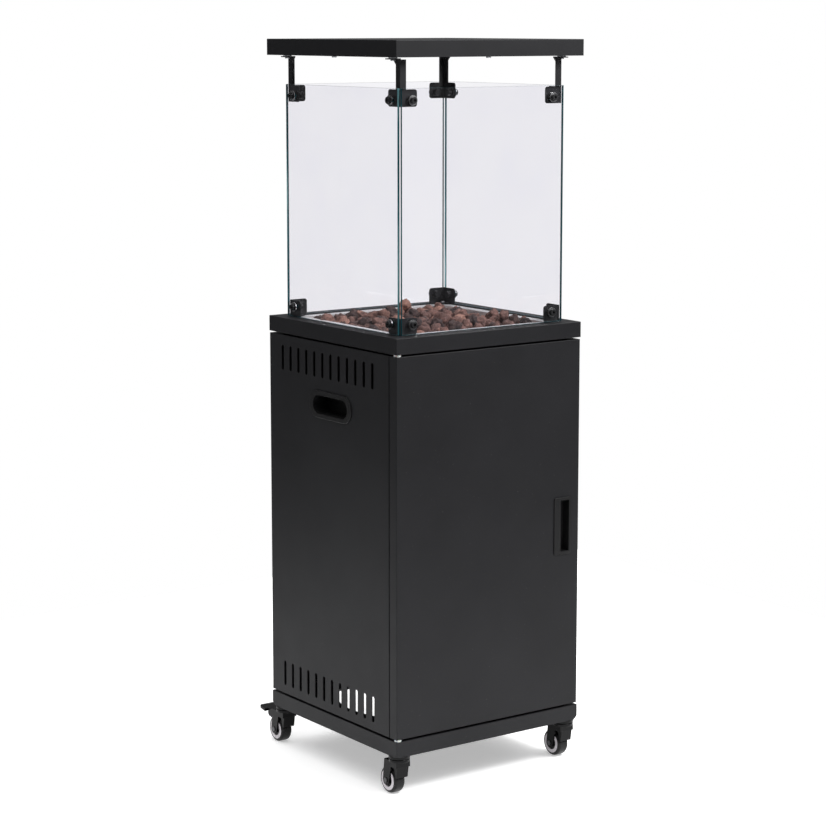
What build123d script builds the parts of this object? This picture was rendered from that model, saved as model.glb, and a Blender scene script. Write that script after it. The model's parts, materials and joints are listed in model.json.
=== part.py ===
"""A square gas patio heater: a wheeled sheet-steel cabinet with a door, a tray of lava rocks in its deck,
four panes of glass round the flame and a flat top plate on four posts.

Millimetres, +Z up, +X to the right seen from the front, the door faces -Y. Each node is one STEP file.
"""

import math
import os
import random
from itertools import product

from build123d import *

# ---- driving dimensions ----
FOOTPRINT = 420.0  # side of the square cabinet, and of the top plate
TOTAL_HEIGHT = 1360.0
DECK_TOP = 840.0
CASTER_HEIGHT = 76.0
SHEET = 1.5  # thickness of the folded steel
RIM_HEIGHT = 29.0  # visible edge of the base and of the deck
TOP_PLATE_HEIGHT = 30.0
EDGE_RADIUS = 1.2  # outside radius of a folded edge
SHADOW_GAP = 4.0  # between the base, the cabinet walls and the deck

# ---- heights worked out from them ----
HALF = FOOTPRINT / 2
BASE_BOTTOM = CASTER_HEIGHT
BASE_TOP = BASE_BOTTOM + RIM_HEIGHT
BODY_BOTTOM = BASE_TOP + SHADOW_GAP
DECK_BOTTOM = DECK_TOP - RIM_HEIGHT
BODY_TOP = DECK_BOTTOM - SHADOW_GAP
TOP_PLATE_BOTTOM = TOTAL_HEIGHT - TOP_PLATE_HEIGHT

# ---- cabinet walls ----
WALL_OUT = HALF - 1.0  # outside faces of the walls and the door
WALL_IN = WALL_OUT - SHEET
INNER_FRAME = 192.0  # half-size of the recessed steps that the walls are screwed to
FLANGE_END = 178.0  # the walls' top and bottom flanges end here
LIP_END = 172.0  # the deck's lower lip ends here
JAMB_WIDTH = 20.0
DOOR_DEPTH = 21.5
DOOR_GAP = 3.0
DOOR_BACK = -WALL_OUT + DOOR_DEPTH
SIDE_FRONT = DOOR_BACK + DOOR_GAP
SIDE_BACK = WALL_OUT - SHEET
FLANGE_SCREW_AT = 185.0
FLANGE_SCREW_SPREAD = 120.0

# ---- side wall openings ----
VENT_COUNT = 12
VENT_PITCH = 27.1
VENT_FIRST_Y = -133.6
VENT_WIDTH = 8.2
VENT_LENGTH = 48.0
VENT_ROWS_Z = (149.5, 764.5)
GRIP_Y, GRIP_Z = 1.0, 691.0
GRIP_FLANGE = (139.0, 51.0)
GRIP_HOLE = (131.0, 41.0)
GRIP_MOUTH = (113.0, 35.0)
GRIP_DEPTH = 34.0
GRIP_PROUD = 2.5
PLASTIC_WALL = 2.0
SNAP_PLAY = 0.4  # how much smaller a moulding is than its hole

# ---- base ----
FLOOR_HOLE_RADIUS = 166.0
CORNER_CUT = 8.0  # the rim's bottom corners are cut off at 45 degrees
GUSSET_LEG = 78.0
GUSSET = 3.0
STRAP_WIDTH = 30.0
STRAP_REACH = HALF - SHEET / 2  # from the middle to each end of the straps that carry the gas cylinder

# ---- deck, burner pan and rocks ----
DECK_OPENING = 179.0  # half-size
DECK_CORNER_LEG = 24.0  # the opening's corners are filled for the bracket feet
PAN_FLANGE = 186.0
PAN_WALL = 161.0
PAN_FLOOR = 795.0
BURNER_HALF = 69.0
BURNER_TUBE = 6.0
BURNER_BORE = 4.8
BURNER_Z = 804.0
PORT_COUNT = 9
PORT_RADIUS = 0.9
ROCK_RADIUS = 20.0
ROCK_PITCH = 46.0
ROCK_ROWS = 7
ROCK_RISE = 23.5  # from one layer's centres to the next
ROCK_REACH = (0.78, 0.99)  # a rock's corners, as parts of its radius

# ---- glass and its clamps ----
GLASS = 5.0
GLASS_OUT = 187.0
GLASS_END = 181.0
GLASS_CHAMFER = 0.4
GLASS_BOTTOM = 841.0
GLASS_TOP = 1276.0
PAD = 1.0
BRACKET = 2.0
BRACKET_LEG = 36.5
BRACKET_TOP = 1274.0  # top edge of the upper brackets
BRACKET_HEIGHT = 30.5
BRACKET_CORNER = 5.0
BRACKET_FOOT = 20.0
CLAMP_AT = 158.0
CLAMP_INSET = 19.0  # bolt height above the deck, and below the top of the upper bracket
POST_WIDTH = 13.0
POST_FLARE = 9.0
POST_TAB = 16.0
SPACER = 2.0
SPACER_RADIUS = 8.0
BOLT = 3.0
BOLT_CAP = (6.2, 5.0)  # radius, height
BOLT_SOCKET = (2.9, 3.0)
BOLT_HOLE = 4.6  # radius of the holes in the glass
WASHER = (9.0, 1.5)
PAD_RADIUS = 8.0
NUT = (6.5, 9.0)
NUT_FACE = 0.5
HEAD_EDGE = 1.0  # rounding of bolt, screw and nut heads
RUNNING = 0.05  # radial clearance of a running fit
LOOSE = 0.4  # radial clearance of a bolt in its hole

# ---- screws ----
SCREW = 2.5
SCREW_HEAD = (4.5, 2.5)
SCREW_GRIP = 8.0
FOOT_SCREW_GRIP = 10.0
FOOT_SCREW_AT = 170.0
STUD_RADIUS = 4.5
STUD_SCREW_DEPTH = 12.0
STUD_SCREW_SLACK = 1.0
SHIELD_HALF = 206.0
SHIELD_UPSTAND = 10.0
SHIELD_SCREW_AT = 198.0

# ---- door ----
HINGE_AT = -202.0  # X and Y of the hinge line
HINGE_PIN = 3.0
HINGE_HEAD = (5.0, 3.0)
HINGE_GRIP = 6.0  # length of pin inside the door
WASHER_RADIUS = 6.5
HANDLE_X, HANDLE_Z = 170.0, 457.0
HANDLE = (40.0, 109.0)
HANDLE_PROUD = 2.0
HANDLE_CUP = (34.0, 102.0)
HANDLE_DEPTH = 17.0
HANDLE_RIDGE = 10.0
HANDLE_CORNER = 4.0
HANDLE_EDGE = 0.8
MAGNET_X = (120.0, 160.0)
MAGNET_DROP = 14.0
MAGNET_GAP = 0.7
STRIKE_DEPTH = 15.0
STRIKE_DROP = 11.0
STRIKE_PROUD = 0.3

# ---- gas controls, behind the door ----
PANEL_Y = -172.0  # front of the control panel
PANEL_HALF = 100.0
PANEL_FLANGE = 14.0
PANEL_SCREW_INSET = 15.0
PANEL_BOTTOM = 715.0
CONTROL_Z = 762.0
IGNITER_X = 62.0
TILT_X = -62.0
VALVE_HALF = 20.0
VALVE_BOTTOM = 745.0
VALVE_BACK = -128.0
VALVE_CHAMFER = 4.0
SPINDLE = 4.0
SPINDLE_BORE = 26.0  # its depth in the valve
SPINDLE_HOLE = 6.0  # radius in the control panel
KNOB = (20.0, 18.0)  # radius, depth
KNOB_BAR = (9.0, 8.0)  # width, depth
KNOB_FRONT = -196.0
KNOB_FACE = 4.0  # plastic in front of the spindle
KNOB_EDGE = 2.0
PUSH_TRAVEL = 4.0
BUTTON = (8.0, 18.0)  # radius, length
BUTTON_EDGE = 1.0
BUTTON_FRONT = -181.0
IGNITER = (10.9, 55.0)  # radius, length behind the panel
IGNITER_FLANGE = (13.4, 3.0)
TILT_SWITCH = (16.0, 22.0)
TILT_EDGE = 2.0
FEED_RADIUS = 5.0
FEED_BORE = 3.8
FEED_BEND = 13.0
FEED_TOP = 776.0  # where the pipe meets the burner's inlet stub
FEED_SOCKET = 10.0
NIPPLE = (4.5, 26.0)  # hose tail radius and length
NIPPLE_BORE = 3.0
NIPPLE_HEX = (8.0, 8.0)
PILOT_Y = -92.0
PILOT_SPREAD = 12.0
PROBE = 3.0
PILOT_MARGIN = 6.0
PILOT_DEPTH = 7.0  # plate in front of and behind the probes
PROBE_TOP = 815.0
PILOT_TUBE_TOP = 809.0
ELECTRODE = (1.0, 805.0)  # tip radius, and top of the ceramic
THERMOCOUPLE = (2.0, 805.0)  # tip radius, and top of the sleeve
THERMOCOUPLE_TOP = 813.0

# ---- casters ----
CASTER_AT = 191.0
WHEEL_RADIUS = 25.0
WHEEL_WIDTH = 23.0
TREAD_EDGE = 5.0
HUB_RADIUS = 19.5
HUB_RECESS = (13.0, 3.0)
TRAIL = 21.0  # from the swivel line back to the axle
AXLE = 3.0
AXLE_HEAD = (4.6, 1.5)
FIXED_RACE = 20.0
SWIVEL_RACE = 19.5
RACE_TOP = 70.1
RACE_BOTTOM = 64.0
RACE_GAP = 0.4
RACE_EDGE = 1.5
KINGPIN = 4.0
KINGPIN_END = (6.5, 3.0)
KINGPIN_ROOM = 7.0  # radius of the space round its end
KINGPIN_RISE = 13.0  # above the underside of the base
KINGPIN_NUT = (7.5, 6.5)
FORK_GAP = 12.5
FORK_LEG = 3.0
FORK_EYE = 9.0
FORK_FRONT = -12.0
FORK_BACK = 26.0
LEG_FRONT = 5.0
BRIDGE_BOTTOM = 54.0
BRIDGE_OVERLAP = 1.0
FORK_WEB = ((-8.5, 34.0), (-6.0, 34.0), (-1.0, 50.0), (4.0, 55.0), (FORK_FRONT, 55.0))  # Y and Z of its outline
EAR = 6.0
EAR_ROOT = (10.0, 46.0)
PEDAL_PIVOT = (36.0, 54.0)  # Y from the swivel line, and Z
PEDAL_BARREL = 5.0
PEDAL_TRUNNION = 2.5
PEDAL_PLAY = 0.5  # between the barrel's ends and the fork
CAM_LOBE = (5.0, 2.0)  # reach from the pivot, and tip radius
CAM_ANGLE = 25.0  # from the line to the axle, in degrees
PEDAL_TIP = 66.0
PEDAL_WIDTH = 40.0
PEDAL_CORNER = 4.0
PEDAL_ARM = ((34.0, 55.0), (48.0, 55.0), (PEDAL_TIP, 59.0), (PEDAL_TIP, 64.0), (46.0, 60.5), (34.0, 59.0))
PEDAL_TREAD = ((47.0, 55.5), (PEDAL_TIP, 59.0), (PEDAL_TIP, 64.0), (47.0, 60.5))

MIN, MID = Align.MIN, Align.CENTER
LEFT, RIGHT, FRONT, BACK, UP, DOWN = (
    Vector(-1, 0, 0), Vector(1, 0, 0), Vector(0, -1, 0), Vector(0, 1, 0), Vector(0, 0, 1), Vector(0, 0, -1)
)


# ---- shapes used by several pieces ----
def block(x, y, z):
    """A box between the low and high ends given for each axis."""
    centre = [(low + high) / 2 for low, high in (x, y, z)]
    return Pos(*centre) * Box(x[1] - x[0], y[1] - y[0], z[1] - z[0])


def slab(half, z):
    """A square plate about the Z axis."""
    return block((-half, half), (-half, half), z)


def ring(outer, inner, z):
    """A square frame about the Z axis."""
    return slab(outer, z) - slab(inner, z)


def rod(radius, start, direction, length):
    """A cylinder that begins at the start point and runs along the direction."""
    return Plane(origin=start, z_dir=direction) * Cylinder(radius, length, align=(MID, MID, MIN))


def washer(outer, inner, start, direction, length):
    """A tube that begins at the start point and runs along the direction."""
    return rod(outer, start, direction, length) - rod(inner, start, direction, length)


def hexagon(across, start, direction, length):
    """A hexagonal prism. Its size is measured over its corners' circle."""
    return extrude(Plane(origin=start, z_dir=direction) * RegularPolygon(across, 6), length)


def both_sides(piece):
    """The piece and its mirror image on the other side of the cabinet."""
    return [piece, mirror(piece, about=Plane.YZ)]


def four_corners(piece):
    """The piece at the front left corner, and its images at the other three."""
    pair = both_sides(piece)
    return pair + [mirror(each, about=Plane.XZ) for each in pair]


def upright_edges(piece, reach):
    """The vertical edges at the outside corners of a piece whose half-size is reach."""
    return [
        e for e in piece.edges().filter_by(Axis.Z)
        if abs(abs(e.center().X) - reach) < SHEET / 2 and abs(abs(e.center().Y) - reach) < SHEET / 2
    ]


def corner_triangle(corner, leg, low, thickness):
    """A flat right triangle in the front left corner, from the given height up."""
    outline = Polygon((corner, corner), (corner + leg, corner), (corner, corner + leg), align=None)
    return extrude(Pos(0, 0, low) * outline, thickness)


def stadium_on_side(length, height, x, depth, y=0.0, z=0.0):
    """A prism along X whose section is a stadium lying along Y."""
    section = Plane(origin=(x, y, z), x_dir=(0, 1, 0), z_dir=(1, 0, 0)) * SlotOverall(length, height)
    return extrude(section, depth)


# ---- where screws go ----
def every_corner(reach, across=None):
    """X and Y of the four corners at the given reach along X and, if it differs, across along Y."""
    return [(x * reach, y * (reach if across is None else across)) for x, y in product((-1, 1), (-1, 1))]


def wall_flange_points():
    """X and Y of the screws through the flanges of the side walls and the back."""
    sides = [(side * FLANGE_SCREW_AT, y) for side in (-1, 1)
             for y in (-FLANGE_SCREW_SPREAD, FLANGE_SCREW_SPREAD)]
    rear = [(x, FLANGE_SCREW_AT) for x in (-FLANGE_SCREW_SPREAD, FLANGE_SCREW_SPREAD)]
    return sides + rear


def back_screw_points():
    """X and Z of the screws that hold the back to the side walls."""
    middle = (BODY_BOTTOM + BODY_TOP) / 2
    reach = (BODY_TOP - BODY_BOTTOM) / 2 - 2 * JAMB_WIDTH
    return [(side * (WALL_OUT - JAMB_WIDTH / 2), middle + step * reach)
            for side, step in product((-1, 1), (-1, 0, 1))]


BRACKET_FACE = -(GLASS_OUT - GLASS - PAD)  # outer face of a bracket's wings
POST_SCREW = (BRACKET_FACE - POST_TAB / 2, BRACKET_FACE + POST_TAB / 2 + BRACKET)
PANEL_SCREWS = [(side * (PANEL_HALF - PANEL_SCREW_INSET), PANEL_Y - PANEL_FLANGE / 2) for side in (-1, 1)]
CLAMP_HEIGHTS = (DECK_TOP + CLAMP_INSET, BRACKET_TOP - CLAMP_INSET)


def drill(points, z, length, radius=SCREW + RUNNING):
    """The holes for screws at the given X and Y."""
    return [rod(radius, (x, y, z), UP, length) for x, y in points]


# ---- base ----
def base_pan():
    """The folded base: a rim, a raised floor with a large round vent, corner gussets, and two crossed
    straps under the vent for the gas cylinder to stand on."""
    pan = slab(HALF, (BASE_BOTTOM, BASE_TOP)) + slab(INNER_FRAME, (BASE_TOP - SHEET, BODY_BOTTOM))
    pan = fillet(upright_edges(pan, HALF), EDGE_RADIUS)
    pan -= slab(HALF - SHEET, (BASE_BOTTOM, BASE_TOP - SHEET))
    pan -= slab(INNER_FRAME - SHEET, (BASE_TOP - SHEET, BODY_BOTTOM - SHEET))
    pan -= rod(FLOOR_HOLE_RADIUS, (0, 0, BASE_BOTTOM), UP, BODY_BOTTOM)
    for gusset in four_corners(corner_triangle(-HALF + SHEET / 2, GUSSET_LEG, BASE_BOTTOM, GUSSET)):
        pan += gusset
    for turn in (0, 90):
        strap = Box(2 * STRAP_REACH, STRAP_WIDTH, GUSSET, align=(MID, MID, MIN))
        pan += Pos(0, 0, BASE_BOTTOM + GUSSET) * Rot(0, 0, turn) * strap
    cut_from = Plane(origin=(-HALF + CORNER_CUT, -HALF, BASE_BOTTOM), z_dir=(-1, -1, -1))
    size = 4 * CORNER_CUT
    pan -= four_corners(cut_from * Box(size, size, size, align=(MID, MID, MIN)))
    holes = drill(every_corner(CASTER_AT), BASE_BOTTOM, GUSSET, KINGPIN + RUNNING)
    holes += drill(wall_flange_points(), BODY_BOTTOM - 2 * SHEET, 3 * SHEET)
    holes += drill([(HINGE_AT, HINGE_AT)], BASE_TOP - 2 * SHEET, 3 * SHEET, HINGE_PIN + RUNNING)
    return pan - holes


# ---- cabinet walls ----
def side_panel():
    """The left wall: a sheet with flanges on all four edges, two rows of vents and a grip opening."""
    x = (-WALL_OUT, -WALL_IN)
    z = (BODY_BOTTOM, BODY_TOP)
    panel = block(x, (SIDE_FRONT, SIDE_BACK), z)
    for low in (BODY_BOTTOM, BODY_TOP - SHEET):
        panel += block((-WALL_OUT, -FLANGE_END), (SIDE_FRONT, SIDE_BACK), (low, low + SHEET))
    for low in (SIDE_FRONT, SIDE_BACK - SHEET):
        panel += block((-WALL_OUT, -WALL_OUT + JAMB_WIDTH), (low, low + SHEET), z)
    front_edge = [e for e in panel.edges().filter_by(Axis.Z)
                  if abs(e.center().X + WALL_OUT) < 0.1 and abs(e.center().Y - SIDE_FRONT) < 0.1]
    panel = fillet(front_edge, EDGE_RADIUS)
    plane = Plane(origin=(-WALL_OUT - SHEET, 0, 0), x_dir=(0, 1, 0), z_dir=(1, 0, 0))
    vent = SlotOverall(VENT_LENGTH, VENT_WIDTH, rotation=90)
    vents = [plane * Pos(VENT_FIRST_Y + step * VENT_PITCH, row) * vent
             for row in VENT_ROWS_Z for step in range(VENT_COUNT)]
    panel -= [extrude(each, 3 * SHEET) for each in vents]
    panel -= stadium_on_side(*GRIP_HOLE, -WALL_OUT - SHEET, 3 * SHEET, GRIP_Y, GRIP_Z)
    points = [point for point in wall_flange_points() if point[0] < -FLANGE_END]
    panel -= drill(points, BODY_BOTTOM - SHEET, 3 * SHEET)
    panel -= drill(points, BODY_TOP - 2 * SHEET, 3 * SHEET)
    panel -= [rod(SCREW + RUNNING, (px, SIDE_BACK - 2 * SHEET, pz), BACK, 3 * SHEET)
              for px, pz in back_screw_points() if px < 0]
    return panel


def back_panel():
    """The plain rear wall, screwed over the rear flanges of the side walls."""
    reach = FLANGE_END - 2
    panel = block((-WALL_OUT, WALL_OUT), (WALL_IN, WALL_OUT), (BODY_BOTTOM, BODY_TOP))
    for low in (BODY_BOTTOM, BODY_TOP - SHEET):
        panel += block((-reach, reach), (FLANGE_END, WALL_OUT), (low, low + SHEET))
    points = [point for point in wall_flange_points() if point[1] > FLANGE_END]
    panel -= drill(points, BODY_BOTTOM - SHEET, 3 * SHEET)
    panel -= drill(points, BODY_TOP - 2 * SHEET, 3 * SHEET)
    panel -= [rod(SCREW + RUNNING, (x, WALL_IN - SHEET, z), BACK, 3 * SHEET)
              for x, z in back_screw_points()]
    return panel


def hand_grip():
    """A recessed plastic grip: an oval flange outside the left wall, and a closed cup behind it."""
    outside = -WALL_OUT - GRIP_PROUD
    grip = stadium_on_side(*GRIP_FLANGE, outside, GRIP_PROUD, GRIP_Y, GRIP_Z)
    grip = fillet(grip.faces().sort_by(Axis.X)[0].edges(), GRIP_PROUD / 2)
    body = [size - SNAP_PLAY for size in GRIP_HOLE]
    grip += stadium_on_side(*body, -WALL_OUT, GRIP_DEPTH, GRIP_Y, GRIP_Z)
    inside = GRIP_DEPTH + GRIP_PROUD - PLASTIC_WALL
    return grip - stadium_on_side(*GRIP_MOUTH, outside, inside, GRIP_Y, GRIP_Z)


# ---- deck and burner ----
def deck():
    """The folded deck frame: top border, rim, underside and the recessed lip that the walls reach."""
    frame = slab(HALF, (DECK_BOTTOM, DECK_TOP))
    frame = fillet(upright_edges(frame, HALF), EDGE_RADIUS)
    frame = fillet(frame.faces().sort_by(Axis.Z)[-1].edges(), EDGE_RADIUS)
    frame -= slab(HALF - SHEET, (DECK_BOTTOM + SHEET, DECK_TOP - SHEET))
    frame -= slab(DECK_OPENING, (DECK_TOP - SHEET, DECK_TOP))
    frame -= slab(INNER_FRAME - SHEET, (DECK_BOTTOM, DECK_BOTTOM + SHEET))
    frame += ring(INNER_FRAME, INNER_FRAME - SHEET, (BODY_TOP, DECK_BOTTOM + SHEET))
    frame += ring(INNER_FRAME, LIP_END, (BODY_TOP, BODY_TOP + SHEET))
    fill = corner_triangle(-DECK_OPENING - SHEET, DECK_CORNER_LEG + SHEET, DECK_TOP - SHEET, SHEET)
    for piece in four_corners(fill):
        frame += piece
    holes = drill(every_corner(FOOT_SCREW_AT), DECK_TOP - 2 * SHEET, 3 * SHEET)
    holes += drill(wall_flange_points() + PANEL_SCREWS, BODY_TOP - SHEET, 3 * SHEET)
    holes += drill([(HINGE_AT, HINGE_AT)], DECK_BOTTOM - SHEET, 3 * SHEET, HINGE_PIN + RUNNING)
    return frame - holes


def burner_pan():
    """The stainless tray that holds the rocks, hung under the deck's opening."""
    rim_z = (DECK_TOP - 2 * SHEET, DECK_TOP - SHEET)
    pan = ring(PAN_FLANGE, PAN_WALL - SHEET, rim_z) + slab(PAN_WALL, (PAN_FLOOR, rim_z[0]))
    pan -= slab(PAN_WALL - SHEET, (PAN_FLOOR + SHEET, rim_z[0]))
    holes = drill(every_corner(FOOT_SCREW_AT), rim_z[0] - SHEET, 3 * SHEET)
    holes += drill([(0, -BURNER_HALF)], PAN_FLOOR - SHEET, 3 * SHEET, BURNER_TUBE + RUNNING)
    holes += drill(probe_points(), PAN_FLOOR - SHEET, 3 * SHEET, PROBE + RUNNING)
    return pan - holes


def square_of_tube(radius):
    """A square loop of round bar about the Z axis at the burner's height."""
    side = rod(radius, (-BURNER_HALF, -BURNER_HALF, BURNER_Z), RIGHT, 2 * BURNER_HALF)
    side += Pos(-BURNER_HALF, -BURNER_HALF, BURNER_Z) * Sphere(radius)
    loop = side
    for turn in (90, 180, 270):
        loop += Rot(0, 0, turn) * side
    return loop


def burner_tube():
    """A square stainless burner with a row of flame ports along each side and an inlet stub below."""
    stub = (0, -BURNER_HALF, FEED_TOP)
    height = BURNER_Z - FEED_TOP
    burner = square_of_tube(BURNER_TUBE) + rod(BURNER_TUBE, stub, UP, height)
    burner -= square_of_tube(BURNER_BORE) + rod(BURNER_BORE, stub, UP, height)
    for step in range(PORT_COUNT):
        along = (step - (PORT_COUNT - 1) / 2) * 2 * BURNER_HALF / (PORT_COUNT + 1)
        port = rod(PORT_RADIUS, (along, BURNER_HALF, BURNER_Z), UP, 2 * BURNER_TUBE)
        burner -= [Rot(0, 0, turn) * port for turn in (0, 90, 180, 270)]
    return burner


def rock(centre, chance):
    """One broken lava rock: a rough convex lump that stays inside its own sphere."""
    golden = (1 + math.sqrt(5)) / 2
    corners = [Vector(*p) for a, b in product((-1, 1), (-golden, golden))
               for p in ((0, a, b), (a, b, 0), (b, 0, a))]
    turned = Rot(*(chance.uniform(0, 360) for _ in range(3)))
    points = []
    for corner in corners:
        reach = ROCK_RADIUS * chance.uniform(*ROCK_REACH)
        points.append((turned * Pos(corner.normalized() * reach)).position)
    return Pos(*centre) * ConvexPolyhedron(points)


def lava_rocks():
    """Two layers of loose rocks: one on the pan's floor, and one in its hollows."""
    chance = random.Random(11)
    low = PAN_FLOOR + SHEET + ROCK_RADIUS
    rocks = []
    for layer, rows in enumerate((ROCK_ROWS, ROCK_ROWS - 1)):
        places = [(step - (rows - 1) / 2) * ROCK_PITCH for step in range(rows)]
        for x, y in product(places, places):
            over_pilot = layer == 0 and math.hypot(x, y - PILOT_Y) < ROCK_RADIUS
            if not over_pilot:
                rocks.append(rock((x, y, low + layer * ROCK_RISE), chance))
    return rocks


def probe_points():
    """X and Y of the thermocouple, the pilot tube and the ignition electrode."""
    return [(step * PILOT_SPREAD, PILOT_Y) for step in (-1, 0, 1)]


def pilot_bracket():
    """The pilot tube on its plate, with a hood that screens it from the rocks."""
    floor = PAN_FLOOR + SHEET
    across = (-PILOT_SPREAD - PILOT_MARGIN, PILOT_SPREAD + PILOT_MARGIN)
    front = PILOT_Y - PILOT_DEPTH
    plate = block(across, (front, PILOT_Y + PILOT_DEPTH), (floor, floor + SHEET))
    plate += block(across, (front, front + SHEET), (floor, PROBE_TOP))
    plate -= drill(probe_points(), floor - SHEET, 4 * SHEET, PROBE + RUNNING)
    tube = washer(PROBE, PROBE / 2, (0, PILOT_Y, FEED_TOP), UP, PILOT_TUBE_TOP - FEED_TOP)
    collar = washer(PROBE + SHEET, PROBE, (0, PILOT_Y, floor + SHEET), UP, 2 * SHEET)
    return plate + tube + collar


def ignition_electrode():
    """A ceramic rod with a bare metal tip."""
    foot = (*probe_points()[0], FEED_TOP)
    tip_radius, ceramic_top = ELECTRODE
    tip = rod(tip_radius, foot, UP, PROBE_TOP - FEED_TOP)
    return rod(PROBE, foot, UP, ceramic_top - FEED_TOP) + tip


def thermocouple():
    """The flame sensor, a rod with a narrower round tip."""
    foot = (*probe_points()[2], FEED_TOP)
    tip_radius, sleeve_top = THERMOCOUPLE
    tip = rod(tip_radius, foot, UP, THERMOCOUPLE_TOP - FEED_TOP)
    return rod(PROBE, foot, UP, sleeve_top - FEED_TOP) + tip


# ---- glass, brackets and top ----
def front_pane():
    """The front pane of glass, with a bolt hole near each corner."""
    pane = block((-GLASS_END, GLASS_END), (-GLASS_OUT, -GLASS_OUT + GLASS), (GLASS_BOTTOM, GLASS_TOP))
    holes = [rod(BOLT_HOLE, (side * CLAMP_AT, -GLASS_OUT - PAD, z), BACK, GLASS + 2 * PAD)
             for side, z in product((-1, 1), CLAMP_HEIGHTS)]
    return chamfer(pane.edges(), GLASS_CHAMFER) - holes


def bracket_wing(low, high, post_top, flare):
    """One wing of a corner bracket, in the plane of the front pane. A post rises from it, flared at the
    top if flare isn't zero."""
    wing = Pos(BRACKET_FACE, low) * Rectangle(BRACKET_LEG, high - low, align=(MIN, MIN))
    wing = fillet(wing.vertices().group_by(Axis.X)[-1], BRACKET_CORNER)
    if post_top > high:
        wing += Pos(BRACKET_FACE, high) * Rectangle(POST_WIDTH, post_top - high, align=(MIN, MIN))
    if flare:
        edge, under_tab = BRACKET_FACE + POST_WIDTH, post_top - BRACKET
        wing += Polygon((edge, under_tab - flare), (edge + flare, under_tab), (edge + flare, post_top),
                        (edge, post_top), align=None)
    wing -= [Pos(-CLAMP_AT, z) * Circle(BOLT + LOOSE / 2) for z in CLAMP_HEIGHTS if low < z < high]
    front = Plane(origin=(0, BRACKET_FACE, 0), x_dir=(1, 0, 0), z_dir=(0, -1, 0))
    return extrude(front * wing, -BRACKET)


def across_corner(piece):
    """Turns a piece of the front face into the matching piece of the left face at the same corner."""
    return mirror(piece, about=Plane(origin=(0, 0, 0), z_dir=(1, -1, 0)))


def upper_bracket():
    """A stamped angle inside the glass corner. Its post ends in a tab under the top plate."""
    low = BRACKET_TOP - BRACKET_HEIGHT
    tab_top = TOP_PLATE_BOTTOM - SPACER
    angle = bracket_wing(low, BRACKET_TOP, tab_top - BRACKET, 0)
    angle += across_corner(bracket_wing(low, BRACKET_TOP, tab_top, POST_FLARE))
    tab = block((BRACKET_FACE - POST_TAB, BRACKET_FACE + BRACKET),
                (BRACKET_FACE, BRACKET_FACE + POST_WIDTH + POST_FLARE), (tab_top - BRACKET, tab_top))
    return angle + tab - drill([POST_SCREW], tab_top - 2 * BRACKET, 3 * BRACKET)


def lower_bracket():
    """The same angle at the deck, with a foot that is screwed down."""
    angle = bracket_wing(DECK_TOP, DECK_TOP + BRACKET_HEIGHT, 0, 0)
    angle += across_corner(angle)
    reach = (BRACKET_FACE, BRACKET_FACE + BRACKET_FOOT)
    foot = block(reach, reach, (DECK_TOP, DECK_TOP + BRACKET))
    return angle + foot - drill([(-FOOT_SCREW_AT, -FOOT_SCREW_AT)], DECK_TOP - BRACKET, 3 * BRACKET)


def clamp_stack(z):
    """Bolt, outer washer, inner pad and round nut of one clamp on the front pane, at the left corner."""
    face = -GLASS_OUT
    inside = face + GLASS
    seat = face - WASHER[1]
    bolt = rod(BOLT_CAP[0], (-CLAMP_AT, seat - BOLT_CAP[1], z), BACK, BOLT_CAP[1])
    bolt = fillet(bolt.faces().sort_by(Axis.Y)[0].edges(), HEAD_EDGE)
    bolt -= hexagon(BOLT_SOCKET[0], (-CLAMP_AT, seat - BOLT_CAP[1], z), BACK, BOLT_SOCKET[1])
    nut_from = inside + PAD + BRACKET
    bolt += rod(BOLT, (-CLAMP_AT, seat, z), BACK, nut_from + NUT[1] - 2 * NUT_FACE - seat)
    plate = washer(WASHER[0], BOLT + RUNNING, (-CLAMP_AT, seat, z), BACK, WASHER[1])
    pad = washer(PAD_RADIUS, BOLT + RUNNING, (-CLAMP_AT, inside, z), BACK, PAD)
    nut = rod(NUT[0], (-CLAMP_AT, nut_from, z), BACK, NUT[1])
    nut = fillet(nut.faces().sort_by(Axis.Y)[-1].edges(), HEAD_EDGE)
    nut -= rod(BOLT + RUNNING, (-CLAMP_AT, nut_from, z), BACK, NUT[1] - NUT_FACE)
    return bolt, plate, pad, nut


def clamps():
    """All sixteen clamps, as lists of bolts, washers, pads and nuts."""
    kinds = ([], [], [], [])
    for z in CLAMP_HEIGHTS:
        for kind, piece in zip(kinds, clamp_stack(z)):
            kind += four_corners(piece) + four_corners(across_corner(piece))
    return kinds


def top_studs():
    """X and Y of the studs under the top plate: one for each post and one at each side's middle."""
    at = SHIELD_SCREW_AT
    return every_corner(*POST_SCREW) + [(at, 0), (-at, 0), (0, at), (0, -at)]


def top_plate():
    """A shallow folded tray, open below, with welded studs for the heat shield and the posts."""
    plate = slab(HALF, (TOP_PLATE_BOTTOM, TOTAL_HEIGHT))
    plate = fillet(upright_edges(plate, HALF), EDGE_RADIUS)
    plate = fillet(plate.faces().sort_by(Axis.Z)[-1].edges(), EDGE_RADIUS)
    plate -= slab(HALF - SHEET, (TOP_PLATE_BOTTOM, TOTAL_HEIGHT - SHEET))
    foot = TOP_PLATE_BOTTOM + SHEET
    for x, y in top_studs():
        plate += rod(STUD_RADIUS, (x, y, foot), UP, TOTAL_HEIGHT - SHEET - foot)
    return plate - drill(top_studs(), foot, STUD_SCREW_DEPTH)


def heat_shield():
    """The plate that closes the top from below, with its edges turned up."""
    shield = ring(SHIELD_HALF, SHIELD_HALF - SHEET, (TOP_PLATE_BOTTOM, TOP_PLATE_BOTTOM + SHIELD_UPSTAND))
    shield += slab(SHIELD_HALF, (TOP_PLATE_BOTTOM, TOP_PLATE_BOTTOM + SHEET))
    return shield - drill(top_studs(), TOP_PLATE_BOTTOM - SHEET, 3 * SHEET)


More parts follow.
